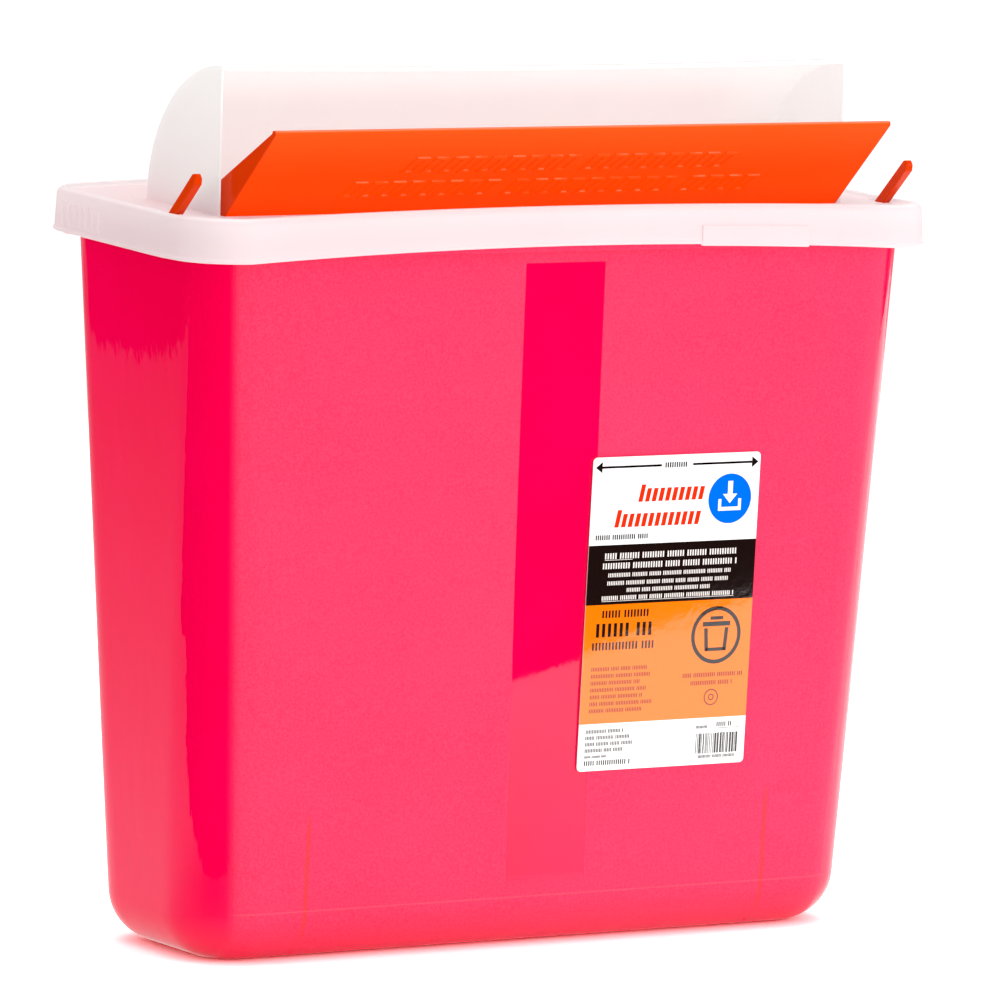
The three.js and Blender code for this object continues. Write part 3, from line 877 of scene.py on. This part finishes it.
def relief_rows():
    """Two rows of plain slanted frames where the moulding carries raised lettering."""
    tall, wide, stroke, slant, pitch, space = 8.0, 4.6, 1.1, 3.2, 6.9, 3.5
    # A stroke's section: how far in from the frame's outer edge, and how high above the flap.
    sunk, shoulder, top, round_off = -0.3, 0.65, 0.8, 0.2
    section = [(0.0, sunk), (0.0, shoulder), (round_off, top), (stroke - round_off, top),
               (stroke, shoulder), (stroke, sunk)]
    base = PIVOT_DROP / math.cos(LEAN)
    bm = bmesh.new()

    def frame_at(x, low):
        rows = []
        for right, above in ((0, 0), (1, 0), (1, 1), (0, 1)):
            row = []
            for inset, height in section:
                across = wide - inset if right else inset
                up = tall - inset if above else inset
                y, z = on_flap(low + up, -height)
                row.append(bm.verts.new((x + across + slant * up / tall, y, z)))
            rows.append(row)
        for row, following in zip(rows, rows[1:] + rows[:1]):
            for j in range(len(section)):
                k = (j + 1) % len(section)
                bm.faces.new((row[j], following[j], following[k], row[k]))

    for middle, start, words in ((24.9, -60.0, (9, 8)), (12.6, -77.0, (8, 9, 4))):
        x = start
        for count in words:
            for _ in range(count):
                frame_at(x, base + middle - tall / 2)
                x += pitch
            x += space
    bmesh.ops.recalc_face_normals(bm, faces=bm.faces)
    return bm


def make_door():
    door = as_object(flap_body(), "door_moulding")
    end = LEVER_X + LEVER_WIDE / 2
    parts = [gusset_body(-1), gusset_body(1), tray_body(),
             rod_x(-end, end, PIVOT_Y, PIVOT_Z, AXLE_R), lever_body(-1), lever_body(1)]
    combined(door, parts, "UNION")
    combined(door, [relief_rows()], "UNION")
    finished(door, 35.0, 1.5)
    placed(door, door_material(), "door", "door")


# ---- label ----

LABEL_WIDE = LABEL_HIGH.x - LABEL_LOW.x
LABEL_TALL = 101.6
LABEL_CORNER = 1.5
SHEET = 0.2
INK = 0.03
STEP = 0.01
BLACK_TOP = 28.4
ORANGE_TOP = 47.7
ORANGE_FOOT = 86.3
DRAFT = math.atan2(TUB_TOP[1] - TUB_FOOT[1], RIM_Z)
LABEL_UP = Vector((0, -math.sin(DRAFT), math.cos(DRAFT)))
LABEL_OUT = Vector((0, -math.cos(DRAFT), -math.sin(DRAFT)))


def label_point(u, v, out):
    """A point on the label: u across from its left edge, v down from its top, out from its back."""
    wall_y = -tub_outline(LABEL_HIGH.z)[1] - 0.1
    top_left = Vector((LABEL_LOW.x, wall_y, LABEL_HIGH.z))
    return top_left + Vector((u, 0, 0)) - LABEL_UP * v + LABEL_OUT * out


def add_sheet(bm, outline, low, high):
    """A thin flat body on the label from (u, v) corners, between two heights above its back."""
    back = [bm.verts.new(label_point(u, v, low)) for u, v in outline]
    front = [bm.verts.new(label_point(u, v, high)) for u, v in outline]
    count = len(outline)
    bm.faces.new(front)
    bm.faces.new(list(reversed(back)))
    for i in range(count):
        j = (i + 1) % count
        bm.faces.new((front[j], front[i], back[i], back[j]))


def rounded_corners(u0, v0, u1, v1, radius, steps=5):
    points = []
    for cu, cv, start in ((u1 - radius, v0 + radius, -90), (u1 - radius, v1 - radius, 0),
                          (u0 + radius, v1 - radius, 90), (u0 + radius, v0 + radius, 180)):
        for step in range(steps + 1):
            angle = math.radians(start + 90 * step / steps)
            points.append((cu + radius * math.cos(angle), cv + radius * math.sin(angle)))
    return points


def rectangle(u0, v0, u1, v1, slant):
    return [(u0 + slant, v0), (u1 + slant, v0), (u1, v1), (u0, v1)]


class Print:
    """The shapes of one ink colour, gathered into one mesh. Level 1 lies on top of level 0."""

    def __init__(self, name, colour, level=0):
        self.name = name
        self.colour = colour
        self.low = SHEET + STEP + level * (INK + STEP)
        self.bm = bmesh.new()

    def shape(self, outline):
        add_sheet(self.bm, outline, self.low, self.low + INK)

    def bar(self, u0, v0, u1, v1, slant=0.0):
        self.shape(rectangle(u0, v0, u1, v1, slant))

    def words(self, u0, u1, middle, tall, rng):
        """A line of even strokes in word-like groups, in place of printed words."""
        stroke, gap = tall * 0.26, tall * 0.24
        u = u0
        while u < u1 - stroke:
            for _ in range(rng.randint(5, 14)):
                if u > u1 - stroke:
                    break
                self.bar(u, middle - tall / 2, u + stroke, middle + tall / 2)
                u += stroke + gap
            u += tall * 0.45

    def ring(self, cu, cv, outer, inner, steps=40):
        for i in range(steps):
            a, b = 2 * math.pi * i / steps, 2 * math.pi * (i + 1) / steps
            corners = []
            for radius, angle in ((inner, a), (outer, a), (outer, b), (inner, b)):
                corners.append((cu + radius * math.sin(angle), cv - radius * math.cos(angle)))
            self.shape(list(reversed(corners)))

    def made(self):
        bmesh.ops.recalc_face_normals(self.bm, faces=self.bm.faces)
        piece = as_object(self.bm, self.name)
        piece.data.materials.append(print_material(self.name, self.colour))
        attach(piece, "tub")


def bands():
    """The label's coloured zones."""
    black = Print("label_black_band", linear(24, 12, 10))
    black.bar(0.0, BLACK_TOP, LABEL_WIDE, ORANGE_TOP)
    orange = Print("label_orange_band", linear(250, 118, 4))
    orange.bar(0.0, ORANGE_TOP, LABEL_WIDE, ORANGE_FOOT)
    return [black, orange]


def red_title():
    """Two lines of bold slanted strokes, each with a taller first stroke."""
    title = Print("label_title_strokes", linear(250, 44, 8))
    stroke, pitch, slant, end = 1.6, 2.5, 0.2, 41.0
    for start, foot in ((17.5, 14.8), (9.0, 22.8)):
        u = start
        while u < end:
            tall = 5.6 if u == start else 4.3
            title.bar(u, foot - tall, u + stroke, foot, slant * tall)
            u += pitch
    return title


def pictogram():
    """A blue disc with a white arrow dropping into a tray."""
    cu, cv, radius = 52.1, 14.9, 8.1
    disc = Print("label_blue_disc", linear(0, 104, 224))
    disc.shape(rounded_corners(cu - radius, cv - radius, cu + radius, cv + radius, radius - 0.01, 14))
    sign = Print("label_disc_sign", linear(250, 252, 255), 1)
    sign.bar(cu - 0.9, cv - 5.7, cu + 0.9, cv - 1.3)
    sign.shape([(cu - 2.7, cv - 1.5), (cu + 2.7, cv - 1.5), (cu, cv + 1.5)])
    sign.bar(cu - 4.3, cv + 2.7, cu + 4.3, cv + 3.9)
    sign.bar(cu - 4.3, cv + 0.1, cu - 3.2, cv + 2.7)
    sign.bar(cu + 3.2, cv + 0.1, cu + 4.3, cv + 2.7)
    return [disc, sign]


def tub_sign(ink, cu, cv):
    """A ring round the plain outline of a lidded tub."""
    ink.ring(cu, cv, 9.4, 8.1)
    ink.bar(cu - 5.2, cv - 4.4, cu + 5.2, cv - 2.9)
    for side in (-1, 1):
        ink.shape(sorted_turn([(cu + side * 4.6, cv - 2.3), (cu + side * 3.3, cv - 2.3),
                               (cu + side * 2.7, cv + 5.2), (cu + side * 4.0, cv + 5.2)], side))
    ink.bar(cu - 3.8, cv + 4.1, cu + 3.8, cv + 5.2)
    ink.bar(cu - 2.4, cv - 6.1, cu + 2.4, cv - 5.0)


def sorted_turn(points, side):
    """Keeps a mirrored outline turning the same way."""
    return points if side > 0 else list(reversed(points))


def black_print(rng):
    """Everything in black on the white and orange zones."""
    ink = Print("label_black_print", linear(24, 14, 14), 1)
    # The level arrows along the top edge, with a short caption between them.
    for a, b, tip in ((3.4, 25.6, -1), (37.4, 59.8, 1)):
        ink.bar(a, 2.9, b, 3.6)
        end = b if tip > 0 else a
        head = [(end, 1.5), (end + tip * 2.4, 3.25), (end, 5.0)]
        ink.shape(sorted_turn(head, tip))
    ink.words(27.0, 36.2, 3.2, 1.7, rng)
    # A line under the title, then headings and the sign on the orange zone.
    for u0, u1, middle, tall in ((2.3, 22.6, 25.9, 1.6), (6.4, 24.8, 50.8, 2.4), (4.4, 26.8, 56.0, 4.4),
                                 (3.2, 27.0, 61.2, 2.5)):
        ink.words(u0, u1, middle, tall, rng)
    tub_sign(ink, 49.8, 59.3)
    # Small lines and the stripes at the foot.
    lines = ((17.0, 1.2), (19.5, 1.2), (20.5, 1.2), (17.0, 1.2), (11.0, 0.8), (20.0, 1.6))
    for index, (end, tall) in enumerate(lines):
        ink.words(2.6, end, 88.8 + 2.05 * index, tall, rng)
    ink.words(44.2, 48.8, 89.3, 1.0, rng)
    ink.words(52.0, 57.6, 88.6, 1.5, rng)
    ink.bar(49.6, 89.8, 60.6, 89.95)
    u = 44.4
    while u < 60.2:
        wide = rng.choice((0.22, 0.22, 0.42, 0.66))
        ink.bar(u, 91.4, u + wide, 98.0)
        u += wide + rng.choice((0.22, 0.3, 0.45))
    ink.words(45.6, 59.4, 99.0, 1.0, rng)
    return ink


def brown_print(rng):
    """Fine lines and two rings on the orange zone."""
    ink = Print("label_brown_print", linear(120, 34, 16), 1)
    for index, end in enumerate((24.4, 26.6, 22.2, 24.6, 23.2, 27.0, 23.0)):
        ink.words(3.4, end, 68.6 + 2.25 * index, 1.25, rng)
    ink.words(38.0, 61.0, 72.2, 1.4, rng)
    ink.words(41.2, 57.4, 74.8, 1.4, rng)
    ink.ring(49.2, 79.6, 2.7, 2.3)
    ink.ring(49.2, 79.6, 1.1, 0.7, 20)
    return ink


def white_print(rng):
    """Six lines on the black zone, two of them partly underlined."""
    ink = Print("label_white_print", linear(240, 232, 228), 1)
    for u0, u1, middle, tall in ((6.2, 56.0, 32.0, 1.9), (5.6, 56.8, 35.2, 1.9), (7.8, 54.2, 38.2, 1.3),
                                 (7.6, 54.0, 40.8, 1.3), (15.0, 46.8, 43.2, 1.3), (5.8, 55.6, 45.6, 1.4)):
        ink.words(u0, u1, middle, tall, rng)
    ink.bar(5.8, 46.55, 55.6, 46.7)
    ink.bar(6.2, 33.2, 16.6, 33.35)
    return ink


def make_label():
    bm = bmesh.new()
    add_sheet(bm, rounded_corners(0, 0, LABEL_WIDE, LABEL_TALL, LABEL_CORNER), 0.0, SHEET)
    bmesh.ops.recalc_face_normals(bm, faces=bm.faces)
    sheet = as_object(bm, "label_sheet")
    placed(sheet, print_material("label_film", linear(250, 250, 250)), "label", "tub")
    rng = random.Random(7)
    inks = [red_title(), black_print(rng), brown_print(rng), white_print(rng)]
    for ink in bands() + pictogram() + inks:
        ink.made()


# ---- studio ----

# The camera's level directions: the table and the backdrop are set square to them.
CAMERA_YAW = 0.54303
CAMERA_PITCH = 0.11587
CAMERA_ROLL = -0.02767
CAMERA_PLACE = (-1.41696, -2.35705, 0.45933)
CAMERA_LENS = 309.83
AWAY = Vector((math.sin(CAMERA_YAW), math.cos(CAMERA_YAW), 0.0))
ACROSS = Vector((math.cos(CAMERA_YAW), -math.sin(CAMERA_YAW), 0.0))


def make_floor():
    """A white table: its front edge is in front of the container, and it runs far behind it.

    What polished faces mirror of it is set apart from what the eye sees.
    """
    near, far, left, right = -223.0, 1500.0, -1364.0, 1136.0
    bm = bmesh.new()
    corners = [(left, near), (right, near), (right, far), (left, far)]
    bm.faces.new([bm.verts.new(ACROSS * a + AWAY * b + Vector((0, 0, -0.05))) for a, b in corners])
    floor = as_object(bm, "floor")
    g = new_material("floor_paper")
    x, y, _ = g.place()
    paper = g.noise(0.4, 3.0, 0.6)
    colour = g.mix(paper, linear(250, 250, 250), linear(255, 255, 255))
    lit = g.node("ShaderNodeBsdfDiffuse", Color=colour).outputs[0]
    # Overexposed to the eye, as a white sweep is, so that only the contact shadow shows.
    burnt = g.node("ShaderNodeBsdfDiffuse", Color=(1.5, 1.5, 1.5, 1.0)).outputs[0]
    # In polished faces it is brightest at the right, towards the main light.
    across = g.math("MULTIPLY_ADD", x, ACROSS.x, g.math("MULTIPLY", y, ACROSS.y))
    away = g.math("MULTIPLY_ADD", x, AWAY.x, g.math("MULTIPLY", y, AWAY.y))
    glow = g.math("EXPONENT", g.math("DIVIDE", across, 700.0))
    glow = g.math("MINIMUM", g.math("MULTIPLY", glow, 1.9), 3.0)
    # The table's lit part steps back towards the left.
    edge = g.step(across, 50.0, -150.0, near, -168.0)
    edge = g.math("ADD", edge, g.step(across, -520.0, -640.0, 0.0, 113.0))
    glow = g.math("MULTIPLY", glow, g.step(g.math("SUBTRACT", away, edge), -2.0, 2.0))
    # The container's own soft shadow lies at its front left.
    shade_across, shade_away, shade_size = -110.0, -165.0, 95.0
    off_across = g.math("DIVIDE", g.math("SUBTRACT", across, shade_across), shade_size)
    off_away = g.math("DIVIDE", g.math("SUBTRACT", away, shade_away), shade_size)
    far_off = g.math("ADD", g.math("POWER", off_across, 2.0), g.math("POWER", off_away, 2.0))
    shade = g.math("EXPONENT", g.math("MULTIPLY", far_off, -1.0))
    glow = g.math("MULTIPLY", glow, g.math("MULTIPLY_ADD", shade, -0.9, 1.0))
    mirrored = g.node("ShaderNodeEmission", Color=(1.0, 0.985, 0.97, 1.0), Strength=glow).outputs[0]
    path = g.node("ShaderNodeLightPath").outputs
    around = g.blend(path["Is Glossy Ray"], lit, mirrored)
    floor.data.materials.append(g.finish(g.blend(path["Is Camera Ray"], around, burnt)))


def make_world():
    """White to the eye and to soft light. Polished faces mirror a dark room and a white backdrop."""
    world = bpy.data.worlds.new("studio")
    bpy.context.scene.world = world
    g = Graph(world, "ShaderNodeOutputWorld")

    def background(strength, colour=(1.0, 1.0, 1.0, 1.0)):
        return g.node("ShaderNodeBackground", Color=colour, Strength=strength).outputs[0]

    direction = g.node("ShaderNodeTexCoord").outputs["Generated"]
    ahead = g.vector_math("DOT_PRODUCT", direction, AWAY).outputs["Value"]
    room = background(g.step(ahead, 0.57, 0.72, 0.003, 0.7))
    path = g.node("ShaderNodeLightPath").outputs
    around = g.blend(path["Is Glossy Ray"], background(1.0, (1.0, 0.995, 0.985, 1.0)), room)
    g.finish(g.blend(path["Is Camera Ray"], around, background(1.1)))


def soft_light(name, place, aim, size, power):
    """A white area light, in metres and watts, that polished faces don't mirror."""
    light = bpy.data.lights.new(name, "AREA")
    light.shape = "RECTANGLE"
    light.size, light.size_y = size
    light.energy = power
    made = bpy.data.objects.new(name, light)
    made.location = Vector(place)
    made.rotation_mode = "QUATERNION"
    made.rotation_quaternion = (Vector(aim) - Vector(place)).to_track_quat("-Z", "Y")
    made.visible_glossy = False
    bpy.context.scene.collection.objects.link(made)


def make_lights():
    middle = (0.0, 0.0, 0.14)
    soft_light("overhead", (0.1, 0.2, 1.5), middle, (1.6, 1.2), 9.5)
    soft_light("front_right", (1.1, -1.5, 0.9), middle, (0.9, 0.9), 7.0)
    soft_light("front_low", (0.2, -1.5, 0.05), (0.0, -0.04, 0.25), (1.2, 0.3), 8.0)


def make_camera():
    """The photographer's place: left of centre, a little above, through a long lens."""
    forward = AWAY * math.cos(CAMERA_PITCH) - Vector((0, 0, math.sin(CAMERA_PITCH)))
    down = forward.cross(ACROSS)
    turned_right = ACROSS * math.cos(CAMERA_ROLL) + down * math.sin(CAMERA_ROLL)
    turned_down = down * math.cos(CAMERA_ROLL) - ACROSS * math.sin(CAMERA_ROLL)
    data = bpy.data.cameras.new("camera")
    data.sensor_width = 36.0
    data.lens = CAMERA_LENS
    data.clip_start, data.clip_end = 0.1, 50.0
    camera = bpy.data.objects.new("camera", data)
    axes = Matrix((turned_right, -turned_down, -forward)).transposed()
    camera.matrix_world = Matrix.Translation(CAMERA_PLACE) @ axes.to_4x4()
    bpy.context.scene.collection.objects.link(camera)
    bpy.context.scene.camera = camera


def make_studio():
    make_floor()
    make_world()
    make_lights()
    make_camera()
    scene = bpy.context.scene
    scene.view_settings.view_transform = "Standard"
    scene.cycles.use_denoising = True


make_tub()
make_lid()
make_door()
make_label()
make_studio()
